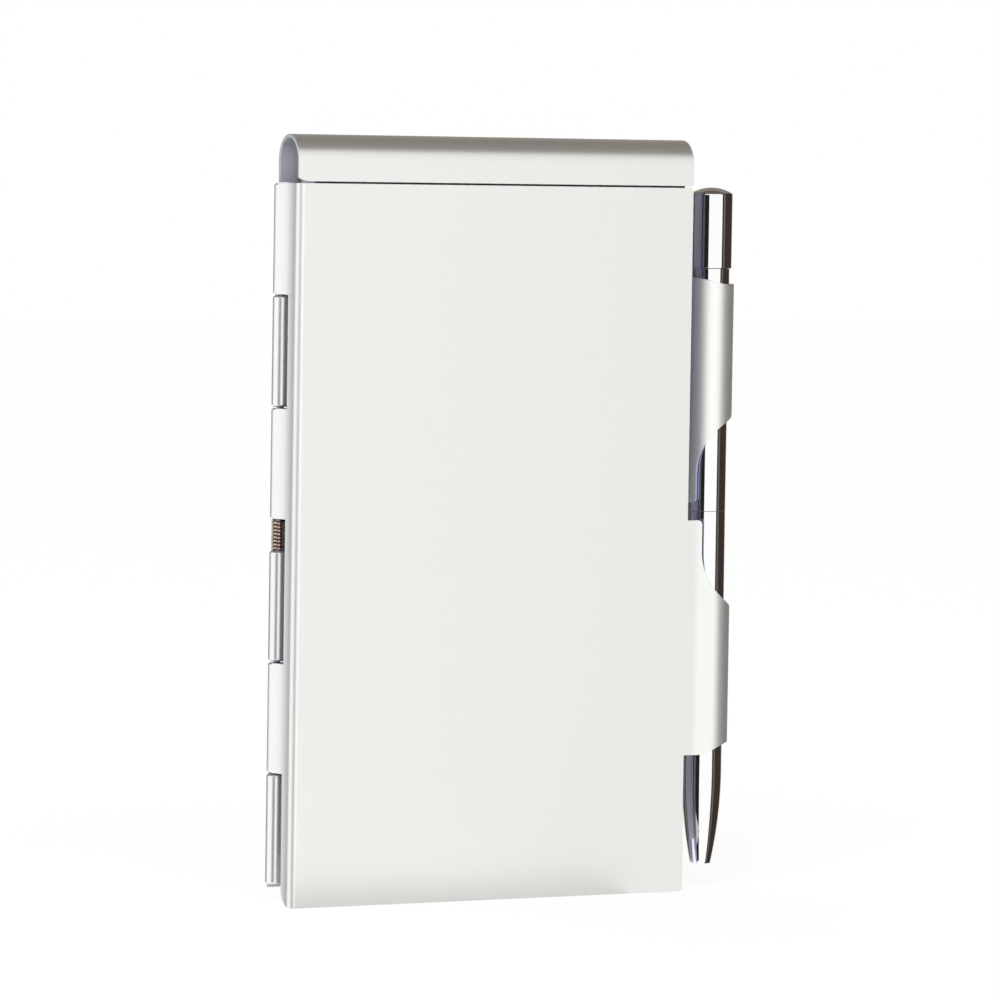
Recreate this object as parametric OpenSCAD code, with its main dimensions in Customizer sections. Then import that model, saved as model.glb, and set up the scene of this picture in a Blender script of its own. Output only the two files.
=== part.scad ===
// Flip-open pocket notepad case of bent aluminium sheet, with its pad and its twist pen.
// The case stands upright as it is shown: hinge to the left, pen to the right, cover in front.
// The back sheet rolls forward over the head of the pad. The cover swings on a barrel hinge with a
// torsion spring, and a tab on each sheet is wrapped round the pen, one above the other.
// Lengths are in millimetres. X runs to the pen's side, Y to the back and Z up.

/* [Case] */
// Width of the cover, without the hinge barrels and the pen loops
cover_w = 72.9; // [64:0.1:90]
// Height of the cover
cover_h = 120; // [110:0.5:150]
// Thickness of the closed case
case_t = 8.6; // [8.2:0.1:11]
// Thickness of the aluminium sheet
sheet_t = 0.65; // [0.5:0.05:0.8]
// Radius of the cover's corners, seen from the front
corner_r = 0.8; // [0.3:0.1:2]
// Outer radius of the bend between the cover's face and its side wall
bend_r = 1.2; // [0.9:0.05:1.5]
// Depth of the cover's side wall, from the face
wall_depth = 3.4; // [3:0.05:4]
// Radius at the foot of the side wall, seen from the side
wall_foot_r = 3; // [1:0.1:4]

/* [Roll at the top] */
// Height of the roll, from the edge of its front leg to its crown
roll_h = 7.75; // [6.5:0.05:12]
// Gap between the roll's front leg and the top of the cover
roll_gap = 0.3; // [0.2:0.05:0.8]
// Width of the curve that takes the left corner off the roll's front leg
roll_corner_w = 2; // [1:0.1:3]
// Height of that curve
roll_corner_h = 0.9; // [0.4:0.1:2]
// Radius of the right corner of the roll's front leg
roll_corner_r = 0.4; // [0.2:0.1:1]

/* [Hinge] */
// Outer diameter of the hinge barrels
barrel_d = 3; // [2.8:0.05:3.2]
// Distance of the hinge axis from the cover's left face
pin_inset = 0.1; // [0:0.05:0.3]
// Distance of the hinge axis from the back face of the case
pin_back = 1.9; // [1.8:0.05:2.1]
// Height of the lowest barrel above the bottom edge
barrel_foot = 3.3; // [2.5:0.1:6]
// Gap between the ends of neighbouring barrels
barrel_gap = 0.3; // [0.2:0.05:0.6]
// Chamfer on the ends of the barrels
barrel_chamfer = 0.25; // [0.05:0.05:0.35]
// Radius of the hollow between the side wall and a barrel
hollow_r = 8; // [5:0.1:9]
// Diameter of the hinge pin
pin_d = 1.1; // [0.9:0.05:1.2]
// Radial play of the barrels on the pin
pin_play = 0.05; // [0.02:0.01:0.08]
// How far the back plate reaches past the cover's left face
plate_reach = 0.45; // [0.2:0.05:0.6]
// Clearance of the back plate round the cover's barrels
swing_gap = 0.3; // [0.2:0.05:0.6]
// Width of the notch in the foot of the back plate, under the lowest barrel
foot_notch_w = 3.1; // [2:0.1:5]
// Height of the notch in the foot of the back plate
foot_notch_h = 2.65; // [1:0.05:3]

/* [Hinge spring] */
// Length of the gap in the hinge that shows the spring
spring_window = 5.1; // [4.9:0.1:8]
// Outer diameter of the spring
spring_d = 1.95; // [1.8:0.05:2.05]
// Diameter of the spring wire
wire_d = 0.22; // [0.16:0.01:0.24]
// Curls of the spring
spring_curls = 8; // [5:1:8]
// Length of the spring leg on the back plate
lower_leg = 2.3; // [1.5:0.1:2.4]
// Length of the spring leg on the cover's side wall
upper_leg = 4.2; // [4:0.1:4.8]

/* [Pen loops] */
// Radial room between the pen and the upper loop
upper_room = 0.05; // [0.03:0.01:0.3]
// Radial room between the pen and the lower loop
lower_room = 0.25; // [0.1:0.05:0.4]
// Width of the flat neck between the cover's edge and the lower loop
neck_w = 1.9; // [1.6:0.1:3]
// How far the lower loop bulges in front of the cover's face
loop_bulge = 0.35; // [0.2:0.05:0.8]
// Slope of the ramp from the flat neck to the lower loop, in degrees
ramp_slope = 6; // [4:0.5:10]
// Radius of the soft bend between the flat neck and the ramp
ramp_bend_r = 12; // [4:0.5:16]
// Distance of the upper loop from the cover's top edge
upper_drop = 15.2; // [14.2:0.1:20]
// Height of the upper loop at its neck
upper_loop_h = 38.4; // [34:0.1:42]
// Gap between the necks of the two loops
loop_gap = 2.9; // [1:0.1:6]
// Height of the lower loop at its neck
lower_loop_h = 40.2; // [36:0.1:44]
// Radius of the thumb notch, on the flat blank
thumb_r = 10.3; // [8:0.1:12]
// Height of the straight side of the upper neck, below the thumb notch
upper_neck_side = 4.8; // [3:0.1:8]
// Height of the straight side of the lower neck, above the thumb notch
lower_neck_side = 5.2; // [3:0.1:8]
// How much the upper loop narrows at its upper edge
upper_taper = 1.1; // [0.5:0.1:3]
// How much the lower loop narrows at its lower edge
lower_taper = 1.9; // [0.5:0.1:3]
// Distance on the blank from straight ahead to the straight side of the lower neck
lower_lip = 2.7; // [2:0.1:3.4]
// Corner radius of the necks
neck_corner_r = 0.8; // [0.3:0.1:1.5]
// Angle from straight ahead to the cut side of the upper neck, to the left
upper_lip_angle = 55; // [45:1:65]
// Angle from straight ahead to the free end of the upper loop, to the right
upper_wrap = 215; // [180:1:225]
// Angle from straight ahead to the free end of the lower loop, to the right
lower_wrap = 100; // [90:1:104]
// Outer radius of the bend between the back plate and the upper loop
neck_bend_r = 1.4; // [1.1:0.05:1.8]

/* [Pen] */
// Largest diameter of the lower barrel
pen_d = 6.7; // [6.4:0.05:7]
// Diameter of both barrels where they meet
seam_d = 6.45; // [6:0.05:6.55]
// Diameter of the cap
cap_d = 7.1; // [6.9:0.05:7.6]
// Diameter of the pen's tip
tip_d = 3.4; // [3:0.05:4.2]
// Length of the closed pen
pen_len = 115.8; // [110:0.1:118]
// Height of the pen's crown above the cover's top edge
pen_rise = 0.1; // [0:0.1:3]
// Length of the cap
cap_len = 13.8; // [10:0.1:14.8]
// Depth of the socket that seats the cap on the upper barrel
cap_socket = 5.8; // [4:0.1:7]
// Diameter of the stem of the cap's plug
stem_d = 4.4; // [3:0.1:5]
// Height of the domed crown of the cap
crown_h = 1.4; // [0.8:0.1:3]
// Length of the rounded nose
nose_len = 16; // [10:0.1:20]
// Distance from the tip to the seam between the barrels
seam_up = 60.6; // [56:0.1:66]
// Thickness of the washer in the seam
washer_t = 0.25; // [0.15:0.05:0.5]
// Wall of the barrels
barrel_wall = 0.35; // [0.25:0.05:0.4]
// Depth of the refill's point inside the closed tip
point_inset = 1; // [0.5:0.1:1.5]

/* [Twist mechanism] */
// How far the refill moves out
refill_travel = 3.5; // [2:0.1:4]
// Turn of the upper barrel that moves the refill out, in degrees
twist_turn = 180; // [150:5:200]
// Length of the guide tube's foot, which is pressed into the lower barrel
guide_foot_h = 13; // [10:0.5:16]
// Length of the refill carrier
carrier_h = 9; // [8:0.5:12]
// Diameter of the refill tube
refill_d = 2.35; // [2.2:0.05:2.5]
// Length of the refill
refill_len = 67; // [62:0.5:68]
// Diameter of the two pins on the refill carrier
cam_pin_d = 0.8; // [0.6:0.05:1]
// Play of the small fits inside the pen
pen_play = 0.04; // [0.02:0.01:0.06]

/* [Pad] */
// Distance of the pad from the cover's left face
pad_left = 3.4; // [3:0.1:4.5]
// Distance of the pad from the cover's right edge
pad_right = 1.2; // [1:0.1:10]
// Height of the pad's foot above the bottom edge
pad_foot = 6.25; // [6.25:0.05:12]
// Gap between the head of the pad and the crown of the roll
pad_head_gap = 3; // [2.9:0.05:4]
// Play between the pad and the sheets in front of it and behind it
pad_play = 0.3; // [0.2:0.05:0.6]
// Thickness of the backing board
board_t = 0.9; // [0.5:0.1:1.5]
// Thickness of the binding tape
tape_t = 0.15; // [0.1:0.05:0.25]
// Height of the band of binding tape
tape_h = 9; // [6:0.5:14]
// Diameter of the staple wire
staple_wire_d = 0.5; // [0.4:0.05:0.6]
// Length of a staple's back
staple_w = 12; // [8:0.5:14]

/* [Hidden] */
$fn = 64;
eps = 0.01;
over = 1;

roll_r = case_t / 2;
leg_z = cover_h + roll_gap;
roll_top = leg_z + roll_h;
roll_z = roll_top - roll_r;

barrel_r = barrel_d / 2;
pin_x = pin_inset;
pin_y = case_t - pin_back;
pin_r = pin_d / 2;
barrel_count = 6;
barrel_len = (cover_h - barrel_foot - spring_window) / barrel_count;
back_barrels = [1, 3, 5];
cover_barrels = [0, 2, 4];
window_top = cover_h - barrel_count / 2 * barrel_len;
window_foot = window_top - spring_window;
notch_x = pin_x + barrel_r + swing_gap;
hollow_y = pin_y - sqrt(pow(barrel_r + hollow_r, 2) - pow(pin_x + hollow_r, 2));

pen_r = pen_d / 2;
upper_r = pen_r + upper_room + sheet_t;
lower_r = pen_r + lower_room + sheet_t;
pen_y = lower_r - loop_bulge;
ramp_top = [-lower_r * sin(ramp_slope), pen_y - lower_r * cos(ramp_slope)];
ramp_run = -ramp_top.y / tan(ramp_slope);
ramp_len = ramp_run / cos(ramp_slope);
ramp_bend_run = ramp_bend_r * tan(ramp_slope / 2);
pen_x = cover_w + neck_w + ramp_run - ramp_top.x;
side_x = pen_x - upper_r;
upper_head = cover_h - upper_drop;
upper_foot = upper_head - upper_loop_h;
lower_head = upper_foot - loop_gap;
lower_foot = lower_head - lower_loop_h;

// The part's frame has its origin under the middle of the closed case, so every piece is drawn
// from the cover's lower left corner and moved by these two distances.
left_reach = barrel_r - pin_x;
mid_x = (pen_x + lower_r - left_reach) / 2;
mid_y = (case_t - loop_bulge) / 2;

pen_foot = cover_h + pen_rise - pen_len;
seam_z = pen_foot + seam_up;
cap_r = cap_d / 2;
cap_z = pen_foot + pen_len - cap_len;
socket_z = cap_z + cap_socket;
stem_r = stem_d / 2;
seam_r = seam_d / 2;
bore_r = seam_r - barrel_wall;
insert_r = bore_r - pen_play;
lip_chamfer = min(0.2, (cap_r - seam_r - pen_play) / 2);
washer_inset = 0.1;

refill_r = refill_d / 2;
refill_wall = 0.25;
refill_z = pen_foot + point_inset;
refill_top = refill_z + refill_len;
point_shank = 3.4;
point_cone = 2;
point_r = 0.5;
ball_r = 0.35;
// Room that the refill needs in the nose when it is moved out
nose_room = 0.3;
hole_z = refill_z + point_shank - refill_travel - nose_room;
throat_z = hole_z + point_cone;

tube_wall = 0.5;
refill_grip = 5;
slot_end = 1;
carrier_r = refill_r + 0.45;
guide_r = carrier_r + pen_play + tube_wall;
guide_z = seam_z - 1.5 - guide_foot_h;
carrier_z = refill_top - refill_grip;
cam_pin_z = carrier_z + carrier_h - 1.5;

pad_front = sheet_t + pad_play;
pad_back = case_t - sheet_t - pad_play;
pad_top = roll_top - sheet_t - pad_head_gap;
pad_h = pad_top - pad_foot;
pad_w = cover_w - pad_left - pad_right;

// Moves a piece from the cover's corner to the part's frame
module placed() {
    translate([-mid_x, -mid_y, 0]) children();
}

// Height where barrel i starts, counted from the top
function barrel_z(i) = cover_h - (i + 1) * barrel_len - (i >= barrel_count / 2 ? spring_window : 0);

// From 0 to 1 with a soft start and end
function ease(t) = t <= 0 ? 0 : t >= 1 ? 1 : t * t * (3 - 2 * t);

function unit(v) = v / norm(v);

// The values of a list from high to low, each one once
function falling(v) = len(v) < 2 ? v :
    let (middle = v[floor(len(v) / 2)])
        concat(falling([for (x = v) if (x > middle) x]), [middle], falling([for (x = v) if (x < middle) x]));

// A pie slice from angle a0 to a1, larger than radius r, to cut rings with
module slice_2d(r, a0, a1) {
    steps = 12;
    rim = [for (i = [0:steps]) 1.5 * r * [cos(a0 + (a1 - a0) * i / steps), sin(a0 + (a1 - a0) * i / steps)]];
    polygon(concat([[0, 0]], rim));
}

// Takes the corner off a sheet that lies in the XZ plane: the corner is at (x, z) and points
// along sx and sz, and the cut runs from y0 to y1
module corner_off(x, z, sx, sz, r, y0, y1) {
    side = r + over;
    translate([x - sx * r, y1, z - sz * r])
        rotate([90, 0, 0])
            linear_extrude(y1 - y0)
                difference() {
                    translate([sx > 0 ? 0 : -side, sz > 0 ? 0 : -side]) square(side);
                    circle(r);
                }
}

// Upright sheet tab with a curved path and a free outline. A station is the point on each face
// of the sheet, then the lower and the upper edge there.
module folded_tab(stations) {
    n = len(stations);
    points = [for (s = stations) each [
        [s[0].x, s[0].y, s[2]], [s[0].x, s[0].y, s[3]],
        [s[1].x, s[1].y, s[3]], [s[1].x, s[1].y, s[2]]]];
    sides = [for (i = [0:n - 2], k = [0:3])
        let (a = 4 * i + k, b = 4 * i + (k + 1) % 4, c = a + 4, d = b + 4)
            each [[a, b, d], [a, d, c]]];
    ends = [[2, 1, 0], [3, 2, 0], [4 * n - 4, 4 * n - 3, 4 * n - 2], [4 * n - 4, 4 * n - 2, 4 * n - 1]];
    polyhedron(points, concat(sides, ends), convexity = 6);
}

// Round of the neck's free corner, as the height that it takes off d millimetres from the side
function neck_corner(d) =
    d >= neck_corner_r ? 0 : neck_corner_r - sqrt(pow(neck_corner_r, 2) - pow(neck_corner_r - d, 2));

// Depth of the round thumb notch, d millimetres past the neck's straight side
function thumb_cut(d) = d >= thumb_r ? thumb_r : thumb_r * sin(acos(1 - d / thumb_r));

// Distances along the blank where the thumb notch needs a station, past the neck's side
thumb_steps = [for (a = [0:4:88]) max(thumb_r * (1 - cos(a)), eps)];
corner_steps = [1, 0.7, 0.45, 0.22, 0.06, 0];

// Point on the ring round the pen, at an angle from straight ahead that counts to the left
function on_ring(r, left) = [pen_x - r * sin(left), pen_y - r * cos(left)];

// Arc length on the neutral layer for one degree
function arc_mm(r) = (r - sheet_t / 2) * PI / 180;

// Barrel with chamfered ends and a bore for the pin
module barrel(i) {
    z0 = barrel_z(i) + barrel_gap / 2;
    z1 = barrel_z(i) + barrel_len - barrel_gap / 2;
    translate([pin_x, pin_y, z0]) {
        cylinder(h = barrel_chamfer, r1 = barrel_r - barrel_chamfer, r2 = barrel_r);
        translate([0, 0, barrel_chamfer]) cylinder(h = z1 - z0 - 2 * barrel_chamfer, r = barrel_r);
        translate([0, 0, z1 - z0 - barrel_chamfer])
            cylinder(h = barrel_chamfer, r1 = barrel_r, r2 = barrel_r - barrel_chamfer);
    }
}

// Bore for the pin: it runs free in the cover's barrels and is held in the back sheet's
module pin_bore(play) {
    translate([pin_x, pin_y, -over]) cylinder(h = cover_h + 2 * over, r = pin_r + play);
}

// Side view of the back sheet: back plate, roll and front leg
module back_profile() {
    translate([case_t - sheet_t, 0]) square([sheet_t, roll_z]);
    translate([0, leg_z]) square([sheet_t, roll_z - leg_z]);
    translate([roll_r, roll_z])
        difference() {
            circle(roll_r);
            circle(roll_r - sheet_t);
            translate([-case_t, -case_t]) square([2 * case_t, case_t]);
        }
}

// The tab on the back sheet: it leaves the back plate, turns forward beside the case, passes in
// front of the pen and ends behind it
function upper_station(left, low, high) = [on_ring(upper_r, left), on_ring(upper_r - sheet_t, left), low, high];

function upper_low(left) =
    let (d = (upper_lip_angle - left) * arc_mm(upper_r))
        upper_foot + (d > 0 ? upper_neck_side + thumb_cut(d) : neck_corner(-d));

function upper_high(left) = upper_head - upper_taper * ease((80 - left) / 110);

module upper_loop() {
    lip = upper_lip_angle;
    mm = arc_mm(upper_r);
    bend_x = side_x + sheet_t - neck_bend_r;
    bend_y = case_t - neck_bend_r;
    plate_end = [[cover_w - over, case_t - sheet_t], [cover_w - over, case_t], upper_foot, upper_head];
    bend = [for (a = [90:-6:0]) [
        [bend_x, bend_y] + (neck_bend_r - sheet_t) * [cos(a), sin(a)],
        [bend_x, bend_y] + neck_bend_r * [cos(a), sin(a)], upper_foot, upper_head]];
    lefts = concat(
        [for (a = [90:-3:lip + neck_corner_r / mm + 1]) a],
        [for (c = corner_steps) lip + c * neck_corner_r / mm],
        [for (d = thumb_steps) lip - d / mm],
        [for (a = [lip - thumb_r / mm:-3:-upper_wrap]) a]);
    ring = [for (a = lefts) upper_station(a, upper_low(a), upper_high(a))];
    folded_tab(concat([plate_end], bend, ring));
}

// Takes the left corner off the roll's front leg, along a curve that is wider than it is high
module leg_corner_off() {
    steps = 12;
    curve = [for (i = [0:steps])
        let (a = 180 + 90 * i / steps)
            [roll_corner_w * (1 + cos(a)), roll_corner_h * (1 + sin(a))]];
    outside = [[roll_corner_w, -over], [-over, -over], [-over, roll_corner_h]];
    translate([0, sheet_t + eps, leg_z])
        rotate([90, 0, 0])
            linear_extrude(sheet_t + eps + over) polygon(concat(curve, outside));
}

module back_shell() {
    color("silver") placed() difference() {
        union() {
            rotate([90, 0, 90]) linear_extrude(cover_w) back_profile();
            translate([-plate_reach, case_t - sheet_t, 0]) cube([plate_reach + over, sheet_t, barrel_z(0) + over]);
            for (i = back_barrels) barrel(i);
            upper_loop();
        }
        for (i = cover_barrels)
            translate([-plate_reach - over, case_t - sheet_t - over, barrel_z(i)])
                cube([notch_x + plate_reach + over, sheet_t + 2 * over, barrel_len]);
        translate([-plate_reach - over, case_t - sheet_t - over, -over])
            cube([foot_notch_w + over, sheet_t + 2 * over, foot_notch_h + over]);
        corner_off(cover_w, 0, 1, -1, corner_r, case_t - sheet_t - over, case_t + over);
        leg_corner_off();
        corner_off(cover_w, leg_z, 1, -1, roll_corner_r, -over, sheet_t + eps);
        pin_bore(eps);
    }
}

// Plan of the cover's side wall down to a depth, with the inside of the bend to the face and the
// hollow that leads to the barrels
module wall_plan(depth) {
    square([sheet_t, depth]);
    difference() {
        square(bend_r);
        translate([bend_r, bend_r]) circle(bend_r - sheet_t);
    }
    if (depth > hollow_y)
        difference() {
            translate([-barrel_r, hollow_y]) square([barrel_r + eps, depth - hollow_y]);
            translate([-hollow_r, hollow_y]) circle(hollow_r);
        }
}

// Plan of the arm that carries a barrel of the cover
module arm_plan() {
    toward = unit([pin_x + hollow_r, pin_y - hollow_y]);
    touch = [-hollow_r, hollow_y] + hollow_r * toward;
    difference() {
        polygon([[0, hollow_y - eps], [sheet_t, hollow_y - eps], [sheet_t, pin_y], [pin_x, pin_y], touch]);
        translate([-hollow_r, hollow_y]) circle(hollow_r);
    }
}

// The tab on the cover: it runs on from the cover's face, bulges forward and hooks round the
// right side of the pen
function lower_low(along) = lower_foot + lower_taper * ease((3 - along) / 6.2);

function lower_high(along) =
    let (d = lower_lip - along)
        lower_head - (d > 0 ? lower_neck_side + thumb_cut(d) : neck_corner(-d));

// Where the lower tab's front lies, as a point and its slope, at a distance along the blank that
// counts to the left from straight ahead of the pen: ring, ramp, soft bend and flat neck
ring_end = ramp_slope * arc_mm(lower_r);
ramp_foot = ring_end + ramp_len;
function lower_front(along) =
    along < ring_end ? let (left = along / arc_mm(lower_r)) [on_ring(lower_r, left), left] :
    along < ramp_foot - ramp_bend_run ?
        [on_ring(lower_r, ramp_slope) - (along - ring_end) * [cos(ramp_slope), -sin(ramp_slope)], ramp_slope] :
    along < ramp_foot + ramp_bend_run ?
        let (
            turn = ramp_slope * (ramp_foot + ramp_bend_run - along) / (2 * ramp_bend_run),
            centre = [cover_w + neck_w - ramp_bend_run, -ramp_bend_r])
            [centre + ramp_bend_r * [sin(turn), cos(turn)], turn] :
    [[cover_w + neck_w - along + ramp_foot, 0], 0];

function lower_station(along) =
    let (front = lower_front(along), inward = sheet_t * [sin(front[1]), cos(front[1])])
        [front[0], front[0] + inward, lower_low(along), lower_high(along)];

module lower_loop() {
    alongs = concat(
        [neck_w + over + ramp_foot],
        [for (t = [-1:0.4:1]) ramp_foot + t * ramp_bend_run],
        [for (c = corner_steps) lower_lip + c * neck_corner_r],
        [for (d = thumb_steps) lower_lip - d],
        [for (left = [ramp_slope:-3:-lower_wrap]) left * arc_mm(lower_r)]);
    folded_tab([for (s = falling(alongs)) lower_station(s)]);
}

module front_cover() {
    color("gainsboro") placed() difference() {
        union() {
            difference() {
                cube([cover_w, sheet_t, cover_h]);
                corner_off(cover_w, 0, 1, -1, corner_r, -over, sheet_t + over);
                corner_off(cover_w, cover_h, 1, 1, corner_r, -over, sheet_t + over);
            }
            difference() {
                linear_extrude(cover_h) wall_plan(wall_depth);
                translate([-barrel_r - over, wall_depth - wall_foot_r, wall_foot_r])
                    rotate([90, 0, 90])
                        linear_extrude(barrel_r + sheet_t + 2 * over)
                            difference() {
                                translate([0, -wall_foot_r - over]) square(wall_foot_r + over);
                                circle(wall_foot_r);
                            }
            }
            for (i = cover_barrels) {
                barrel(i);
                translate([0, 0, barrel_z(i) + barrel_gap / 2])
                    linear_extrude(barrel_len - barrel_gap) arm_plan();
            }
            lower_loop();
        }
        translate([bend_r, bend_r, -over])
            linear_extrude(cover_h + 2 * over)
                difference() {
                    translate([-bend_r - over, -bend_r - over]) square(bend_r + over);
                    circle(bend_r);
                }
        pin_bore(pin_play);
    }
}

module hinge_pin() {
    inset = barrel_gap;
    color("dimgray") placed()
        translate([pin_x, pin_y, barrel_foot + inset])
            cylinder(h = cover_h - barrel_foot - 2 * inset, r = pin_r);
}

// Path of the spring wire: one leg to the back plate, the curls, one leg to the side wall.
// The curls fall to the right as they pass the front, so the angle runs backwards going up.
spring_path =
    let (
        coil_r = (spring_d - wire_d) / 2,
        z0 = window_foot - barrel_gap / 2 + 0.1 + wire_d / 2,
        z1 = window_top + barrel_gap / 2 - 0.1 - wire_d / 2,
        start = -45,
        turn = 360 * spring_curls + start,
        steps = 8 * spring_curls - 1,
        curls = [for (i = [0:steps])
            let (a = start - turn * i / steps)
                [pin_x + coil_r * cos(a), pin_y + coil_r * sin(a), z0 + (z1 - z0) * i / steps]],
        out = [-sin(start), cos(start), 0],
        last = curls[steps])
        concat(
            [for (d = [lower_leg, lower_leg / 2]) curls[0] + d * out],
            curls,
            [for (d = [upper_leg / 2, upper_leg]) last + d * [0.03, -1, 0]]);

// Round wire along a path that never runs straight up
module wire_along(path, d) {
    sides = 6;
    n = len(path);
    points = [for (i = [0:n - 1])
        let (
            t = unit(path[min(i + 1, n - 1)] - path[max(i - 1, 0)]),
            flat = unit([t.y, -t.x, 0]),
            up = cross(t, flat))
            for (k = [0:sides - 1])
                path[i] + d / 2 * (cos(360 * k / sides) * flat + sin(360 * k / sides) * up)];
    skin = [for (i = [0:n - 2], k = [0:sides - 1])
        let (a = sides * i + k, b = sides * i + (k + 1) % sides)
            each [[a, a + sides, b + sides], [a, b + sides, b]]];
    ends = [for (k = [1:sides - 2]) each [
        [0, k, k + 1], [sides * (n - 1), sides * (n - 1) + k + 1, sides * (n - 1) + k]]];
    polyhedron(points, concat(skin, ends), convexity = 10);
}

spring_self_gap = min([for (i = [0:len(spring_path) - 1], j = [i + 4:1:len(spring_path) - 1])
    norm(spring_path[i] - spring_path[j])]) - wire_d;
echo(str("Least gap of the hinge spring to itself, mm: ", spring_self_gap));

module hinge_spring() {
    color("saddlebrown") placed() wire_along(spring_path, wire_d);
}

// The two staples that bind the head of the pad: backs in front, points turned in behind
module at_staples() {
    for (x = [pad_left + pad_w * 0.25, pad_left + pad_w * 0.75])
        translate([x, 0, pad_top - tape_h / 2]) children();
}

module staple() {
    r = staple_wire_d / 2;
    y0 = pad_front + tape_t + r;
    y1 = pad_back - tape_t - r;
    translate([-staple_w / 2 - r, y0, 0]) rotate([0, 90, 0]) cylinder(h = staple_w + 2 * r, r = r, $fn = 24);
    for (side = [-1, 1]) {
        translate([side * staple_w / 2, y0, 0]) rotate([-90, 0, 0]) cylinder(h = y1 - y0, r = r, $fn = 24);
        translate([side * (staple_w / 2 + r), y1, 0])
            rotate([0, -side * 90, 0]) cylinder(h = staple_w * 0.3, r = r, $fn = 24);
    }
}

// Room that a staple has pressed into the paper and the board
module staple_room() {
    half = staple_w / 2 + staple_wire_d / 2 + pen_play;
    side = staple_wire_d + 2 * pen_play;
    y0 = pad_front + tape_t - over;
    y1 = pad_back - tape_t + over;
    translate([-half, y0, -side / 2]) cube([2 * half, over + side, side]);
    for (x = [-half, half - side]) translate([x, y0, -side / 2]) cube([side, y1 - y0, side]);
    translate([-half, y1 - over - side, -side / 2]) cube([2 * half, over + side, side]);
}

module pad_block(y0, y1) {
    difference() {
        translate([pad_left, y0, pad_foot]) cube([pad_w, y1 - y0, pad_h - tape_t]);
        at_staples() staple_room();
    }
}

module pad_backing_board() {
    color("tan") placed() pad_block(pad_back - tape_t - board_t, pad_back - tape_t);
}

module pad_sheets() {
    color("white") placed() pad_block(pad_front + tape_t, pad_back - tape_t - board_t);
}

module pad_binding_tape() {
    color("darkslategray") placed()
        difference() {
            translate([pad_left, pad_front, pad_top - tape_h]) cube([pad_w, pad_back - pad_front, tape_h]);
            translate([pad_left - over, pad_front + tape_t, pad_top - tape_h - over])
                cube([pad_w + 2 * over, pad_back - pad_front - 2 * tape_t, tape_h + over - tape_t]);
        }
}

module pad_staples() {
    color("lightgray") placed() at_staples() staple();
}

module on_pen_axis() {
    placed() translate([pen_x, pen_y, 0]) children();
}

// Arc from the tip to the full barrel: tangent to the barrel where the nose begins
nose_arc = let (
        drop = pen_r - tip_d / 2,
        r = (pow(nose_len, 2) + pow(drop, 2)) / (2 * drop),
        full = asin(nose_len / r))
    [for (i = [0:10])
        let (a = full * (1 - i / 10))
            [pen_r - r * (1 - cos(a)), pen_foot + nose_len - r * sin(a)]];

module pen_lower_barrel() {
    hole_r = point_r + 0.1;
    throat_r = refill_r + nose_room;
    top = seam_z - washer_t / 2;
    outline = concat(nose_arc, [
        [seam_r, top],
        [bore_r, top],
        [bore_r, guide_z - 1],
        [throat_r, guide_z - 1 - 2 * (bore_r - throat_r)],
        [throat_r, throat_z],
        [hole_r, hole_z],
        [hole_r, pen_foot]]);
    color("lightslategray") on_pen_axis() rotate_extrude() polygon(outline);
}

// Guide tube: its foot is pressed into the lower barrel, and two straight slots steer the carrier
module pen_guide_tube() {
    head_z = cam_pin_z + 4;
    slot_w = cam_pin_d + 2 * pen_play;
    color("ivory") on_pen_axis()
        difference() {
            union() {
                translate([0, 0, guide_z]) cylinder(h = guide_foot_h, r = insert_r);
                translate([0, 0, guide_z]) cylinder(h = head_z - guide_z, r = guide_r);
            }
            translate([0, 0, guide_z - over])
                cylinder(h = head_z - guide_z + 2 * over, r = carrier_r + pen_play);
            translate([-bore_r, -slot_w / 2, cam_pin_z - refill_travel - slot_end])
                cube([2 * bore_r, slot_w, refill_travel + 2 * slot_end]);
        }
}

module pen_seam_washer() {
    color("black") on_pen_axis()
        translate([0, 0, seam_z - washer_t / 2])
            difference() {
                cylinder(h = washer_t, r = seam_r - washer_inset);
                translate([0, 0, -over]) cylinder(h = washer_t + 2 * over, r = guide_r + pen_play);
            }
}

module pen_upper_barrel() {
    z0 = seam_z + washer_t / 2;
    color("lightslategray") on_pen_axis()
        translate([0, 0, z0])
            difference() {
                cylinder(h = socket_z - z0, r = seam_r);
                translate([0, 0, -over]) cylinder(h = socket_z - z0 + 2 * over, r = bore_r);
            }
}

// Cam sleeve: it is pressed into the upper barrel, and two helical slots drive the carrier's pins
module pen_cam_sleeve() {
    sleeve_z = seam_z + 1;
    sleeve_h = cam_pin_z + 6 - sleeve_z;
    roof_t = 1.5;
    rate = twist_turn / refill_travel;
    band = 60;
    reach = cam_pin_d / 2 + 0.25;
    slot_h = refill_travel + 2 * reach;
    sector = [[0, 0], for (i = [0:3]) 2 * bore_r * [cos(band * i / 3), sin(band * i / 3)]];
    color("peru") on_pen_axis()
        difference() {
            translate([0, 0, sleeve_z]) cylinder(h = sleeve_h, r = insert_r);
            translate([0, 0, sleeve_z - over]) cylinder(h = sleeve_h - roof_t + over, r = guide_r + pen_play);
            for (turn = [0, 180])
                translate([0, 0, cam_pin_z - refill_travel - reach])
                    rotate([0, 0, turn - rate * (refill_travel + reach) - band / 2])
                        linear_extrude(slot_h, twist = -rate * slot_h, slices = 18) polygon(sector);
        }
}

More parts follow.
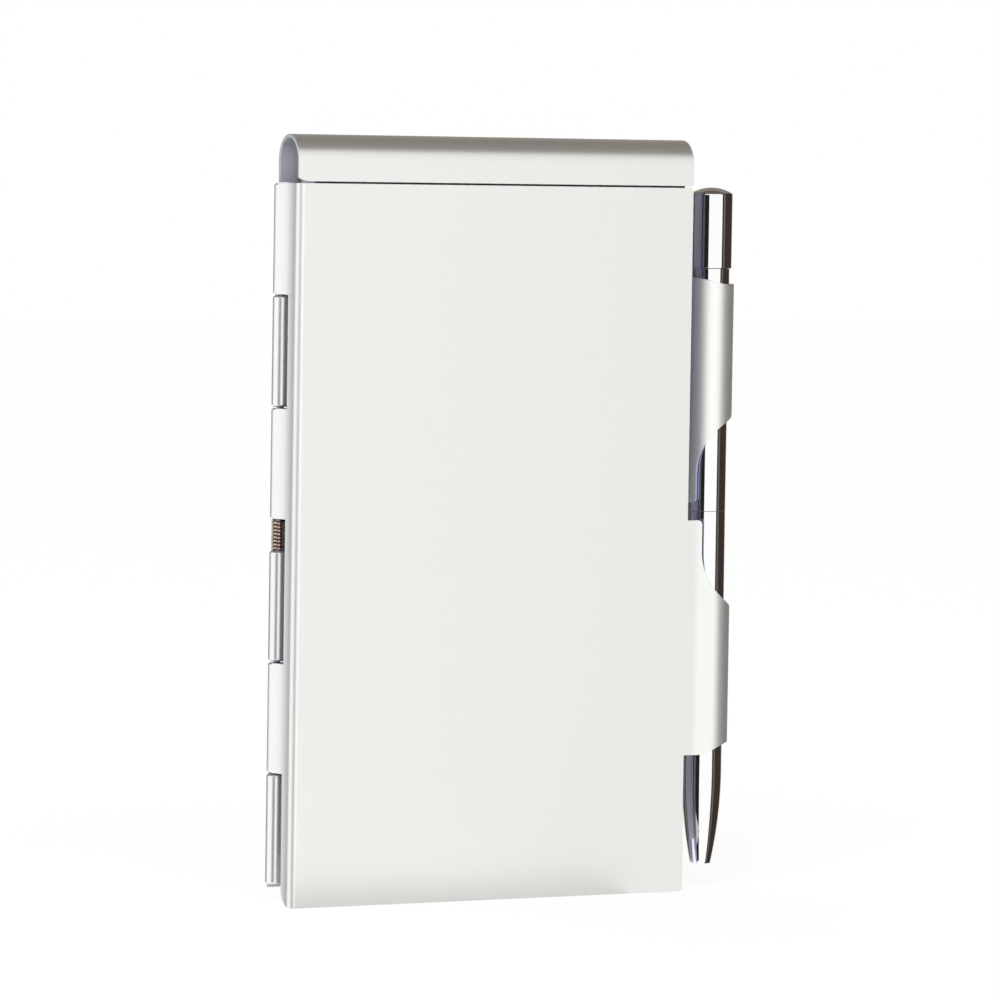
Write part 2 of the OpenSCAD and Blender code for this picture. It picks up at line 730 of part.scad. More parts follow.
// Cap: a flat dome on a straight side, with a small chamfer at its lip and a stepped bore inside
module pen_cap() {
    side_top = cap_z + cap_len - crown_h;
    roof_t = 1;
    crown = [for (i = [0:10]) let (a = 9 * i) [cap_r * sqrt(cos(a)), side_top + crown_h * sin(a)]];
    outline = concat(
        [[seam_r + pen_play, cap_z], [cap_r - lip_chamfer, cap_z], [cap_r, cap_z + lip_chamfer]],
        crown,
        [[0, side_top - roof_t], [stem_r, side_top - roof_t]],
        [[stem_r, socket_z], [seam_r + pen_play, socket_z]]);
    color("lightslategray") on_pen_axis() rotate_extrude() polygon(outline);
}

// Plug that joins the cap to the upper barrel
module pen_cap_plug() {
    tail = 2;
    stem_top = cap_z + cap_len - crown_h - 1.2;
    color("dimgray") on_pen_axis() {
        translate([0, 0, cap_z - tail]) cylinder(h = cap_socket + tail, r = insert_r);
        translate([0, 0, socket_z]) cylinder(h = stem_top - socket_z, r = stem_r - pen_play);
    }
}

// Carrier: it grips the end of the refill, and its two pins reach through the guide tube's slots
// into the cam sleeve
module refill_carrier() {
    pin_reach = insert_r - 0.1;
    color("ivory") on_pen_axis()
        difference() {
            union() {
                translate([0, 0, carrier_z]) cylinder(h = carrier_h, r = carrier_r);
                translate([-pin_reach, 0, cam_pin_z])
                    rotate([0, 90, 0]) cylinder(h = 2 * pin_reach, r = cam_pin_d / 2);
            }
            translate([0, 0, carrier_z - over]) cylinder(h = refill_grip + over + eps, r = refill_r + eps);
        }
}

module refill_tube() {
    foot = refill_z + point_shank + point_cone;
    color("lightgray") on_pen_axis()
        translate([0, 0, foot])
            difference() {
                cylinder(h = refill_top - foot, r = refill_r);
                translate([0, 0, -over]) cylinder(h = refill_top - foot + 2 * over, r = refill_r - refill_wall);
            }
}

// Writing point: a socket for the ball, a shank, a cone and a plug that sits in the tube
module refill_point() {
    rim_z = refill_z + 0.3;
    seat_z = refill_z + ball_r + 0.4;
    cone_z = refill_z + point_shank;
    plug_z = cone_z + point_cone;
    plug_r = refill_r - refill_wall - eps;
    plug_h = 4;
    outline = [
        [0, seat_z + 0.2], [ball_r + eps, seat_z], [ball_r + eps, rim_z], [point_r - 0.08, rim_z],
        [point_r, rim_z + 0.5], [point_r, cone_z], [refill_r, plug_z],
        [plug_r, plug_z], [plug_r, plug_z + plug_h], [0, plug_z + plug_h]];
    color("goldenrod") on_pen_axis() rotate_extrude() polygon(outline);
}

module refill_ball() {
    color("dimgray") on_pen_axis() translate([0, 0, refill_z + ball_r]) sphere(r = ball_r);
}

back_shell();
front_cover();
hinge_pin();
hinge_spring();
pad_backing_board();
pad_sheets();
pad_binding_tape();
pad_staples();
pen_lower_barrel();
pen_guide_tube();
pen_seam_washer();
pen_upper_barrel();
pen_cam_sleeve();
pen_cap();
pen_cap_plug();
refill_carrier();
refill_tube();
refill_point();
refill_ball();
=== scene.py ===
# %% [markdown]
# A flip-open pocket notepad case: two bent sheets of satin aluminium on a barrel hinge, and a
# chrome pen that slides into a loop on each sheet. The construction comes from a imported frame.
# This lesson gives it its finish. It models the sheets again with the soft edges that a real bend
# has, turns the pen's tubes, winds the spring, and lights everything as a small product studio.

# %% Load the frame
import math
import random

import bpy
from mathutils import Matrix, Vector


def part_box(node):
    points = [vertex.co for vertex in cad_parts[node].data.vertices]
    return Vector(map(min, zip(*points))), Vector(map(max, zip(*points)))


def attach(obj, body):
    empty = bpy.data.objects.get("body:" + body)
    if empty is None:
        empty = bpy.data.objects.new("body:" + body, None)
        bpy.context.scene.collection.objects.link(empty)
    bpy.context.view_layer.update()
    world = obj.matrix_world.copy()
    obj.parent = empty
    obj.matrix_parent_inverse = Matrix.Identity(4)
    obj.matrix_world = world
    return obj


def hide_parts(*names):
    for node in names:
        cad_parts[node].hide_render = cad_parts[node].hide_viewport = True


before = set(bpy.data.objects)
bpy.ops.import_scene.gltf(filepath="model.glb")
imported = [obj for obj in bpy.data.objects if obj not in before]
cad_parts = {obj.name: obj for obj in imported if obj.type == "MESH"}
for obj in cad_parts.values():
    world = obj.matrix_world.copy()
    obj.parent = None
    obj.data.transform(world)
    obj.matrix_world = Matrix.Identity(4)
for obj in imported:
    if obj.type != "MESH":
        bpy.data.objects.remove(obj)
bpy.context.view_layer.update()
MM = 0.001
print("the frame's nodes:", ", ".join(sorted(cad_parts)))


# %% [markdown]
# The camera comes first, because every later choice is judged through it. It stands 25 degrees to
# the left of the cover and a little above its middle, with a long lens, so that upright edges stay
# nearly parallel. Three directions fix how it is turned: to the right, up and towards the object.

# %% Camera
CAMERA_PLACE = Vector((-418.5, -882.9, 125.8)) * MM
CAMERA_RIGHT = Vector((0.90440, -0.42640, 0.01570))
CAMERA_UP = Vector((0.01141, 0.06095, 0.99808))
SENSOR = 36.0
LENS = 209.2

camera_data = bpy.data.cameras.new("camera")
camera_data.sensor_width = SENSOR
camera_data.lens = LENS
camera_data.clip_start = 0.01
camera = bpy.data.objects.new("camera", camera_data)
bpy.context.scene.collection.objects.link(camera)
camera_back = CAMERA_RIGHT.cross(CAMERA_UP)
camera_turn = Matrix((CAMERA_RIGHT, CAMERA_UP, camera_back)).transposed().to_4x4()
camera.matrix_world = Matrix.Translation(CAMERA_PLACE) @ camera_turn
bpy.context.scene.camera = camera
bpy.context.scene.view_settings.view_transform = "Standard"
print("the camera looks along", tuple(round(x, 3) for x in -camera_back))


# %% [markdown]
# Node trees are long to write out, so a few helpers come first. Each adds one node and returns the
# socket that carries its result. A plain number or colour can stand wherever a socket can, and is
# then written on the node itself.

# %% Node helpers
def wire(tree, start, end):
    """Joins two sockets; a plain number or colour is set on the end socket instead."""
    if isinstance(start, bpy.types.NodeSocket):
        tree.links.new(start, end)
    else:
        end.default_value = start


def maths(tree, operation, *values):
    node = tree.nodes.new("ShaderNodeMath")
    node.operation = operation
    for value, socket in zip(values, node.inputs):
        wire(tree, value, socket)
    return node.outputs[0]


def band(tree, value, low, high, out_low=0.0, out_high=1.0):
    """A smooth step of value from low to high."""
    node = tree.nodes.new("ShaderNodeMapRange")
    node.interpolation_type = "SMOOTHSTEP"
    for number, socket in zip((value, low, high, out_low, out_high), node.inputs):
        wire(tree, number, socket)
    return node.outputs[0]


def inside(tree, value, low, high, soft):
    """1 between low and high, with soft edges."""
    start = band(tree, value, low - soft, low + soft)
    end = band(tree, value, high - soft, high + soft)
    return maths(tree, "SUBTRACT", start, end)


def blend(tree, amount, low, high):
    """A colour or a number between low and high. Colours are given with four numbers."""
    node = tree.nodes.new("ShaderNodeMix")
    number = isinstance(low, float) or getattr(low, "type", "") == "VALUE"
    node.data_type = "FLOAT" if number else "RGBA"
    first = 2 if number else 6
    wire(tree, amount, node.inputs[0])
    wire(tree, low, node.inputs[first])
    wire(tree, high, node.inputs[first + 1])
    return node.outputs[0 if number else 2]


def noise(tree, vector, scale, detail=2.0, roughness=0.5):
    node = tree.nodes.new("ShaderNodeTexNoise")
    node.inputs["Scale"].default_value = scale
    node.inputs["Detail"].default_value = detail
    node.inputs["Roughness"].default_value = roughness
    tree.links.new(vector, node.inputs["Vector"])
    return node.outputs["Fac"]


def object_place(tree):
    return tree.nodes.new("ShaderNodeTexCoord").outputs["Object"]


def stretched(tree, vector, x, y, z):
    """The same place with each axis scaled, so that a pattern is drawn out along one of them."""
    node = tree.nodes.new("ShaderNodeVectorMath")
    node.operation = "MULTIPLY"
    tree.links.new(vector, node.inputs[0])
    node.inputs[1].default_value = (x, y, z)
    return node.outputs[0]


# %% [markdown]
# Polished metal shows its surroundings and little else, so the studio matters as much as the
# finish. A photographer would stand white panels and black cards round the object. Here the world
# itself is that room, drawn by direction: a broad white panel from the front to the left, a dark
# right side and a brown ceiling. Far on the left the room is dark, which draws a grey line along the
# hinge, and behind the object it is brown, with the white of a floor below.

# %% Studio
FRONT_PANEL = (-36.0, 60.0)
LEFT_END = 138.0
DARK_END = 172.0
REAR_END = 235.0
RIGHT_LINE = (-56.0, -45.0)
CEILING = (39.0, 49.0)
FLOOR_LINE = (-14.0, -22.0)
PANEL_EDGE = 0.8
LINE_EDGE = 2.0
REAR_EDGE = 4.0
FULL_TURN = 360.0
WHITE = (1.22, 1.22, 1.21, 1)
WHITE_LEFT = (1.08, 1.09, 1.12, 1)
BLACK = (0.020, 0.019, 0.018, 1)
BROWN = (0.050, 0.038, 0.031, 1)
LINE_GREY = (0.18, 0.15, 0.13, 1)
CEILING_BROWN = (0.15, 0.12, 0.10, 1)
REAR_BROWN = (0.30, 0.25, 0.21, 1)
SIDE_GREY = (0.06, 0.06, 0.06, 1)
FLOOR_WHITE = (0.95, 0.95, 0.95, 1)


def direction_angles(tree):
    """Azimuth in degrees from straight ahead, growing to the left, and elevation in degrees."""
    coordinates = tree.nodes.new("ShaderNodeTexCoord")
    split = tree.nodes.new("ShaderNodeSeparateXYZ")
    tree.links.new(coordinates.outputs["Generated"], split.inputs[0])
    x, y, z = split.outputs
    left = maths(tree, "ARCTAN2", maths(tree, "MULTIPLY", x, -1.0), maths(tree, "MULTIPLY", y, -1.0))
    up = maths(tree, "ARCSINE", z)
    return maths(tree, "DEGREES", left), maths(tree, "DEGREES", up)


def multiplied(tree, first, second):
    node = tree.nodes.new("ShaderNodeMix")
    node.data_type = "RGBA"
    node.blend_type = "MULTIPLY"
    node.inputs[0].default_value = 1.0
    wire(tree, first, node.inputs[6])
    wire(tree, second, node.inputs[7])
    return node.outputs[2]


world = bpy.data.worlds.new("studio")
bpy.context.scene.world = world
world.use_nodes = True
world.cycles.sampling_method = "NONE"
tree = world.node_tree
tree.nodes.clear()
azimuth, elevation = direction_angles(tree)
room = blend(tree, inside(tree, azimuth, *RIGHT_LINE, LINE_EDGE), BROWN, LINE_GREY)
room = blend(tree, inside(tree, azimuth, *FRONT_PANEL, PANEL_EDGE), room, WHITE)
room = blend(tree, inside(tree, azimuth, FRONT_PANEL[1], LEFT_END, PANEL_EDGE), room, WHITE_LEFT)
rear_left = band(tree, azimuth, DARK_END - REAR_EDGE, DARK_END + REAR_EDGE)
rear_right = band(tree, azimuth, REAR_END - FULL_TURN + REAR_EDGE, REAR_END - FULL_TURN - REAR_EDGE)
straight_behind = maths(tree, "MAXIMUM", rear_left, rear_right)
far_left = band(tree, azimuth, LEFT_END - REAR_EDGE, LEFT_END + REAR_EDGE)
behind = maths(tree, "MAXIMUM", far_left, straight_behind)
rear = blend(tree, straight_behind, SIDE_GREY, REAR_BROWN)
rear = blend(tree, band(tree, elevation, *FLOOR_LINE), rear, FLOOR_WHITE)
room = blend(tree, behind, room, rear)
overhead = band(tree, elevation, *CEILING)
room = blend(tree, overhead, room, CEILING_BROWN)
print("the room's white panels run from", FRONT_PANEL[0], "to", LEFT_END, "degrees")

# %% [markdown]
# Only mirror reflections see that room. Everything else gets an even white light that is weaker
# from above and on the dark right side. Light that has already been reflected inside the case is
# dimmed and turned blue, once for each reflection. That is a device to match the photograph's
# shadows and not how a real room behaves. The camera itself sees plain white behind the object.

# %% World light
EVEN_LIGHT = (1.02, 1.02, 1.02, 1)
ABOVE_SHADE = (0.06, 0.05, 0.045, 1)
RIGHT_SHADE = (0.07, 0.065, 0.065, 1)
SECOND_BOUNCE = (0.34, 0.36, 0.66, 1)
UNTOUCHED = (1.0, 1.0, 1.0, 1)
SHADED_SIDE = (-150.0, -40.0)
SHADED_EDGE = 6.0
SHADED_HEIGHT = (45.0, 30.0)
BOUNCE_STEPS = (2.5, 3.5)

light_path = tree.nodes.new("ShaderNodeLightPath")
depth = light_path.outputs["Ray Depth"]
right_side = maths(tree, "MULTIPLY", inside(tree, azimuth, *SHADED_SIDE, SHADED_EDGE),
                   band(tree, elevation, *SHADED_HEIGHT))
even = blend(tree, right_side, EVEN_LIGHT, RIGHT_SHADE)
even = blend(tree, overhead, even, ABOVE_SHADE)
colour = blend(tree, light_path.outputs["Is Glossy Ray"], even, room)
for bounces in BOUNCE_STEPS:
    deeper = maths(tree, "GREATER_THAN", depth, bounces)
    colour = multiplied(tree, colour, blend(tree, deeper, UNTOUCHED, SECOND_BOUNCE))
colour = blend(tree, light_path.outputs["Is Camera Ray"], colour, UNTOUCHED)
background = tree.nodes.new("ShaderNodeBackground")
background.inputs["Strength"].default_value = 1.0
output = tree.nodes.new("ShaderNodeOutputWorld")
tree.links.new(colour, background.inputs["Color"])
tree.links.new(background.outputs[0], output.inputs["Surface"])
print("the world has", len(tree.nodes), "nodes")


# %% [markdown]
# One large soft lamp above the left of the camera gives the shapes a direction and the floor a
# faint shadow. It is hidden from reflections, because the panels are what the metal should show.

# %% Key light
KEY_PLACE = (-0.5, -0.6, 0.8)
KEY_TARGET = (0, 0, 0.06)
KEY_SIZE = 0.6
KEY_POWER = 1.2


def area_light(name, place, target, size, power):
    data = bpy.data.lights.new(name, "AREA")
    data.shape = "DISK"
    data.size = size
    data.energy = power
    light = bpy.data.objects.new(name, data)
    light.location = place
    light.rotation_euler = (Vector(target) - Vector(place)).to_track_quat("-Z", "Y").to_euler()
    light.visible_glossy = False
    light.visible_camera = False
    bpy.context.scene.collection.objects.link(light)
    return light


key = area_light("key_light", KEY_PLACE, KEY_TARGET, KEY_SIZE, KEY_POWER)
print("the key light is", round(key.location.length, 2), "m away")


# %% [markdown]
# The floor is a plain white sheet. Part of its brightness is its own, so that it fades into the
# white background, and the rest is lit, so that the object still drops a soft shadow on it.

# %% Floor
FLOOR_LIT = 0.47
FLOOR_GLOW = 0.797

bpy.ops.object.select_all(action="DESELECT")
bpy.ops.mesh.primitive_plane_add(size=6.0, location=(0, 0, -0.00005))
floor = bpy.context.object
floor.name = "floor"
floor.visible_glossy = False
floor_finish = bpy.data.materials.new("floor_finish")
floor_finish.use_nodes = True
tree = floor_finish.node_tree
tree.nodes.clear()
matte = tree.nodes.new("ShaderNodeBsdfDiffuse")
matte.inputs["Color"].default_value = (FLOOR_LIT, FLOOR_LIT, FLOOR_LIT, 1)
glow = tree.nodes.new("ShaderNodeEmission")
glow.inputs["Color"].default_value = (FLOOR_GLOW, FLOOR_GLOW, FLOOR_GLOW, 1)
both = tree.nodes.new("ShaderNodeAddShader")
out = tree.nodes.new("ShaderNodeOutputMaterial")
tree.links.new(matte.outputs[0], both.inputs[0])
tree.links.new(glow.outputs[0], both.inputs[1])
tree.links.new(both.outputs[0], out.inputs["Surface"])
floor.data.materials.append(floor_finish)
print("the floor is", floor.dimensions.x, "m wide")


# %% [markdown]
# Two cards that only reflections see complete the studio. The cover's last few millimetres darken,
# because so close to the table a sheet mirrors its own contact shadow. The white floor is hidden
# from reflections, so a small grey strip on it stands for that shadow. The second is a black card a
# third of a metre away on the left. It draws the black line beside the white one on the pen, and as
# a card near the object should, it stands at another angle for the barrels of the hinge.

# %% Cards
def card(name, place, size, turn, colour):
    bpy.ops.object.select_all(action="DESELECT")
    bpy.ops.mesh.primitive_plane_add(size=1.0, location=place, rotation=[math.radians(a) for a in turn])
    piece = bpy.context.object
    piece.name = name
    bpy.ops.transform.resize(value=(*size, 1.0), orient_type="LOCAL")
    bpy.ops.object.transform_apply(location=True, rotation=True, scale=True)
    for flag in ("visible_camera", "visible_diffuse", "visible_shadow", "visible_transmission"):
        setattr(piece, flag, False)
    finish = bpy.data.materials.new(name + "_finish")
    finish.use_nodes = True
    tree = finish.node_tree
    tree.nodes.clear()
    glow = tree.nodes.new("ShaderNodeEmission")
    glow.inputs["Color"].default_value = colour
    out = tree.nodes.new("ShaderNodeOutputMaterial")
    tree.links.new(glow.outputs[0], out.inputs["Surface"])
    piece.data.materials.append(finish)
    print(name, "is", [round(d / MM) for d in piece.dimensions], "mm large")


CONTACT_GREY = (0.62, 0.61, 0.60, 1)
card("contact_shade", (-0.009, -0.014, 0.00002), (0.062, 0.020), (0, 0, 0), CONTACT_GREY)
card("black_card", (-0.2355, -0.2025, -0.025), (0.163, 0.35), (90, 0, 126.5), BLACK)


# %% [markdown]
# Now the pieces. The frame's solids have the right places and sizes, but their edges are knife
# sharp and their curves are flat facets. Two helpers come first: one picks a single object for the
# operators, since they act on all that is selected, and one hands a finished piece to its body.

# %% Piece helpers
MERGE = 0.0005 * MM


def alone(piece):
    bpy.ops.object.select_all(action="DESELECT")
    piece.select_set(True)
    bpy.context.view_layer.objects.active = piece


def apply_modifier(piece, modifier):
    alone(piece)
    bpy.ops.object.modifier_apply(modifier=modifier.name)


def settled(piece, body, slot, *nodes):
    """Hands a piece to its body and lets it stand for the frame's own solids."""
    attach(piece, body)
    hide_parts(*nodes)
    print(piece.name, "has", len(piece.data.polygons), "faces")


def smoothed(piece, angle=35.0):
    """Smooth faces with crisp edges, and normals that the large faces decide."""
    alone(piece)
    bpy.ops.object.shade_smooth_by_angle(angle=math.radians(angle))
    weighted = piece.modifiers.new("even_normals", "WEIGHTED_NORMAL")
    weighted.keep_sharp = True
    weighted.weight = 90
    apply_modifier(piece, weighted)


# %% [markdown]
# Sheet metal is never quite sharp: the press leaves a small round on one side of a cut, and
# tumbling or anodising softens the rest. A copy of the frame's solid is merged, its flat triangles
# are joined again, and a bevel of a few hundredths of a millimetre runs along every real edge. That
# narrow round is what catches the light as a thin bright line. A bevel can leave the solid's box by
# a hair, so each point is put back inside it.

# %% Softened copies
def softened(node, name, width, segments=2, angle=38.0):
    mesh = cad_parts[node].data.copy()
    mesh.materials.clear()
    piece = bpy.data.objects.new(name, mesh)
    bpy.context.scene.collection.objects.link(piece)
    alone(piece)
    bpy.ops.mesh.customdata_custom_splitnormals_clear()
    bpy.ops.object.mode_set(mode="EDIT")
    bpy.ops.mesh.select_all(action="SELECT")
    bpy.ops.mesh.remove_doubles(threshold=MERGE)
    bpy.ops.mesh.dissolve_limited(angle_limit=math.radians(0.4))
    bpy.ops.object.mode_set(mode="OBJECT")
    bevel = piece.modifiers.new("soft_edges", "BEVEL")
    bevel.width = width
    bevel.segments = segments
    bevel.limit_method = "ANGLE"
    bevel.angle_limit = math.radians(angle)
    bevel.use_clamp_overlap = False
    low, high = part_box(node)
    apply_modifier(piece, bevel)
    for vertex in piece.data.vertices:
        vertex.co = [min(max(c, a), b) for c, a, b in zip(vertex.co, low, high)]
    return piece


def paint_faces(piece, name, value_of):
    """Writes one number per face, which a finish can read."""
    layer = piece.data.attributes.new(name, "FLOAT", "FACE")
    values = [float(value_of(face)) for face in piece.data.polygons]
    layer.data.foreach_set("value", values)
    print(piece.name, name, sum(value > 0 for value in values), "faces painted")


def edge_round(piece, width, turn=12.0):
    """Tells the rounds of a bevel, which are narrow and turn away from their neighbours."""
    points = piece.data.vertices
    normals = {}
    for face in piece.data.polygons:
        for key in face.edge_keys:
            normals.setdefault(key, []).append(face.normal)

    def length(key):
        return (points[key[0]].co - points[key[1]].co).length

    def test(face):
        longest = max(face.edge_keys, key=length)
        flattest = min(face.normal.dot(other) for other in normals[longest])
        return flattest < math.cos(math.radians(turn)) and face.area < width * length(longest)

    return test


# %% [markdown]
# The two sheets are the heart of the case. Each is one blank: the cover with its side wall, three
# hinge barrels and the lower pen loop, and the back sheet with the roll, three barrels and the
# upper loop. The edges are painted, so that the finish can wear them bright, and so are the barrels
# of the back sheet, because turning on each other polishes them.

# %% Sheets
low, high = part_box("hinge_pin")
HINGE_X, HINGE_Y = (low[0] + high[0]) / 2, (low[1] + high[1]) / 2
EDGE_ROUND = 0.07 * MM
WORN_WIDTH = 0.06 * MM
HINGE_REACH = 1.56 * MM
COVER_POLISH = 0.4


def on_barrel(face):
    return math.hypot(face.center.x - HINGE_X, face.center.y - HINGE_Y) < HINGE_REACH


sheets = []
for node, body in (("front_cover", "cover"), ("back_shell", "back")):
    sheet = softened(node, node + "_sheet", EDGE_ROUND)
    paint_faces(sheet, "worn_edge", edge_round(sheet, WORN_WIDTH))
    polish = 1.0 if body == "back" else COVER_POLISH
    paint_faces(sheet, "polished", lambda face: polish * on_barrel(face))
    smoothed(sheet)
    settled(sheet, body, "satin_aluminium", node)
    sheets.append(sheet)


# %% [markdown]
# The pen's tubes are turned parts, so they are made as a lathe makes them: one outline, swept round
# the pen's axis. A single vertex is extruded from point to point along the outline and then spun.
# A small bevel rounds the rims, and 128 steps keep the mirror finish free of facets.

# %% Turning
low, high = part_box("pen_cap")
PEN_X, PEN_Y = (low[0] + high[0]) / 2, (low[1] + high[1]) / 2


def turned(name, outline, x, y, steps=128, rim=0.03 * MM):
    bpy.ops.object.select_all(action="DESELECT")
    bpy.ops.mesh.primitive_plane_add(size=1 * MM, location=(0, 0, 0))
    piece = bpy.context.object
    piece.name = name
    bpy.ops.object.mode_set(mode="EDIT")
    bpy.ops.mesh.select_all(action="SELECT")
    bpy.ops.mesh.merge(type="CENTER")
    radius, height = outline[0]
    bpy.ops.transform.translate(value=(x + radius, y, height))
    for (r0, z0), (r1, z1) in zip(outline, outline[1:]):
        bpy.ops.mesh.extrude_region_move(TRANSFORM_OT_translate={"value": (r1 - r0, 0, z1 - z0)})
    bpy.ops.mesh.select_all(action="SELECT")
    bpy.ops.mesh.spin(steps=steps, angle=2 * math.pi, center=(x, y, 0), axis=(0, 0, 1))
    bpy.ops.mesh.select_all(action="SELECT")
    bpy.ops.mesh.remove_doubles(threshold=MERGE)
    bpy.ops.mesh.normals_make_consistent(inside=False)
    bpy.ops.object.mode_set(mode="OBJECT")
    if rim:
        bevel = piece.modifiers.new("rims", "BEVEL")
        bevel.width = rim
        bevel.segments = 3
        bevel.limit_method = "ANGLE"
        bevel.angle_limit = math.radians(24)
        bevel.use_clamp_overlap = False
        apply_modifier(piece, bevel)
    smoothed(piece, 40.0)
    return piece


def arc(centre, radius, start, end, count):
    """Points on an arc; angles in degrees, 0 straight out from the axis."""
    angles = [math.radians(start + (end - start) * i / count) for i in range(count + 1)]
    return [(centre[0] + radius * math.cos(a), centre[1] + radius * math.sin(a)) for a in angles]


# %% [markdown]
# The lower barrel narrows to its writing end in one long curve that meets the straight part without
# a corner, so that the white stripe of the studio runs down it in one piece. Inside, the bore steps
# down to the hole for the refill's point. The upper barrel is a plain tube. Both reach to the seam
# but for a hair's breadth, which the washer fills.

# %% Pen barrels
REACH = 0.09 * MM
foot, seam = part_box("pen_lower_barrel")[0][2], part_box("pen_lower_barrel")[1][2] + REACH
BARREL_R, SEAM_R, BORE_R = 3.35 * MM, 3.225 * MM, 2.875 * MM
TIP_R, NOSE_LENGTH = 1.7 * MM, 16.0 * MM
THROAT_R, HOLE_R = 1.475 * MM, 0.6 * MM
BORE_FOOT, THROAT_HEAD, THROAT_FOOT, HOLE_HEAD = 45.1 * MM, 42.3 * MM, 2.6 * MM, 0.6 * MM
SEAM_RIM = 0.02 * MM
drop = BARREL_R - TIP_R
sweep = (NOSE_LENGTH ** 2 + drop ** 2) / (2 * drop)
full = math.degrees(math.asin(NOSE_LENGTH / sweep))
nose = arc((BARREL_R - sweep, foot + NOSE_LENGTH), sweep, -full, 0.0, 28)
nose_end = foot + NOSE_LENGTH
straight = [(BARREL_R + (SEAM_R - BARREL_R) * i / 8, nose_end + (seam - foot - NOSE_LENGTH) * i / 8)
            for i in range(1, 9)]
bore = [(BORE_R, seam), (BORE_R, foot + BORE_FOOT), (THROAT_R, foot + THROAT_HEAD),
        (THROAT_R, foot + THROAT_FOOT), (HOLE_R, foot + HOLE_HEAD), (HOLE_R, foot), nose[0]]
lower_barrel = turned("pen_lower_barrel_tube", nose + straight + bore, PEN_X, PEN_Y, rim=SEAM_RIM)
settled(lower_barrel, "pen_lower", "pen_chrome", "pen_lower_barrel")

foot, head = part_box("pen_upper_barrel")[0][2] - REACH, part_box("pen_upper_barrel")[1][2]
outline = [(SEAM_R, foot), (SEAM_R, (foot + head) / 2), (SEAM_R, head),
           (BORE_R, head), (BORE_R, foot), (SEAM_R, foot)]
upper_barrel = turned("pen_upper_barrel_tube", outline, PEN_X, PEN_Y, rim=SEAM_RIM)
settled(upper_barrel, "pen_upper", "pen_chrome", "pen_upper_barrel")


# %% [markdown]
# The cap is a drawn cup with a low dome. Where dome and side meet, the real cap has a tight round,
# which mirrors the whole studio in one thin line, so it gets its own arc. The dome is part of a
# sphere that runs into this round without a corner. The cap's lip is rolled over.

# %% Pen cap
foot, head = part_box("pen_cap")[0][2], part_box("pen_cap")[1][2]
CAP_R, SHOULDER, MEETING = 3.55 * MM, 0.40 * MM, 60.0
SOCKET_R, LIP, STEM_R = SEAM_R + 0.04 * MM, 0.1425 * MM, 2.2 * MM
SOCKET_DEPTH, CROWN_THICK = 5.8 * MM, 2.4 * MM
meeting_r = CAP_R - SHOULDER * (1 - math.cos(math.radians(MEETING)))
dome_r = meeting_r / math.cos(math.radians(MEETING))
crown_height = dome_r * (1 - math.sin(math.radians(MEETING))) + SHOULDER * math.sin(math.radians(MEETING))
side_top = head - crown_height
crown = arc((CAP_R - SHOULDER, side_top), SHOULDER, 0.0, MEETING, 12)
crown += arc((0.0, head - dome_r), dome_r, MEETING, 90.0, 16)[1:]
crown[-1] = (0.0, head)
socket = foot + SOCKET_DEPTH
outline = [(SOCKET_R, foot), (CAP_R - LIP, foot), (CAP_R, foot + LIP), (CAP_R, (foot + side_top) / 2)]
outline += crown
outline += [(0.0, head - CROWN_THICK), (STEM_R, head - CROWN_THICK), (STEM_R, socket),
            (SOCKET_R, socket), (SOCKET_R, foot)]
cap = turned("pen_cap_shell", outline, PEN_X, PEN_Y)
print("the cap's dome rises", round(crown_height / MM, 2), "mm")
settled(cap, "pen_upper", "pen_chrome", "pen_cap")

# %% [markdown]
# The seam washer is a punched plastic ring that shows as a pale hair line between the barrels. Its grey is
# set darker than the plastic's own tone, as painted shade for the recess between the barrels. The hinge pin
# is a cut length of wire with rounded ends. Both are turned in the same way.

# %% Seam washer and hinge pin
foot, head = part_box("pen_seam_washer")[0][2] + REACH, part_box("pen_seam_washer")[1][2] - REACH
edge = (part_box("pen_seam_washer")[1][0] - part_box("pen_seam_washer")[0][0]) / 2
bulge = arc((edge - 0.06 * MM, (foot + head) / 2), 0.06 * MM, -90.0, 90.0, 8)
bulge = [(r, foot + (z - bulge[0][1]) / (bulge[-1][1] - bulge[0][1]) * (head - foot)) for r, z in bulge]
hole = 2.2 * MM
washer = turned("pen_seam_ring", bulge + [(hole, head), (hole, foot), bulge[0]], PEN_X, PEN_Y, rim=0)
settled(washer, "pen_lower", "washer_nylon", "pen_seam_washer")

foot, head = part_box("hinge_pin")[0][2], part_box("hinge_pin")[1][2]
PIN_R = (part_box("hinge_pin")[1][0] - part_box("hinge_pin")[0][0]) / 2
END = 0.2 * MM
outline = [(0.0, foot)] + arc((PIN_R - END, foot + END), END, -90.0, 0.0, 6)
outline += arc((PIN_R - END, head - END), END, 0.0, 90.0, 6) + [(0.0, head)]
pin = turned("hinge_pin_wire", outline, HINGE_X, HINGE_Y, steps=48, rim=0)
settled(pin, "back", "hinge_steel", "hinge_pin")


# %% [markdown]
# The torsion spring is browned wire, wound in eight close curls round the pin. One leg rests on the
# back sheet and one on the cover's side wall. A poly line along the wire's middle is given a round
# section and then made a mesh. The wire is thicker here than in the frame's solid, where the curls
# had to stay well apart.

# %% Hinge spring
WIRE_D = 0.48 * MM
COIL_R = 0.81 * MM
CURLS = 8
low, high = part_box("hinge_spring")
first_z, last_z = low[2] + WIRE_D / 2, high[2] - WIRE_D / 2
START = -45.0
steps = 28 * CURLS
centres = []
for i in range(steps + 1):
    a = math.radians(START - (360 * CURLS + START) * i / steps)
    centres.append(Vector((HINGE_X + COIL_R * math.cos(a), HINGE_Y + COIL_R * math.sin(a),
                           first_z + (last_z - first_z) * i / steps)))
out = Vector((math.sin(math.radians(45)), math.cos(math.radians(45)), 0))
legs = [centres[0] + out * d * MM for d in (2.1, 1.4, 0.7)]
tail = [centres[-1] + Vector((0.03, -1, 0)) * d * MM for d in (1.0, 2.2, 3.4, 4.15)]
path = legs + centres + tail

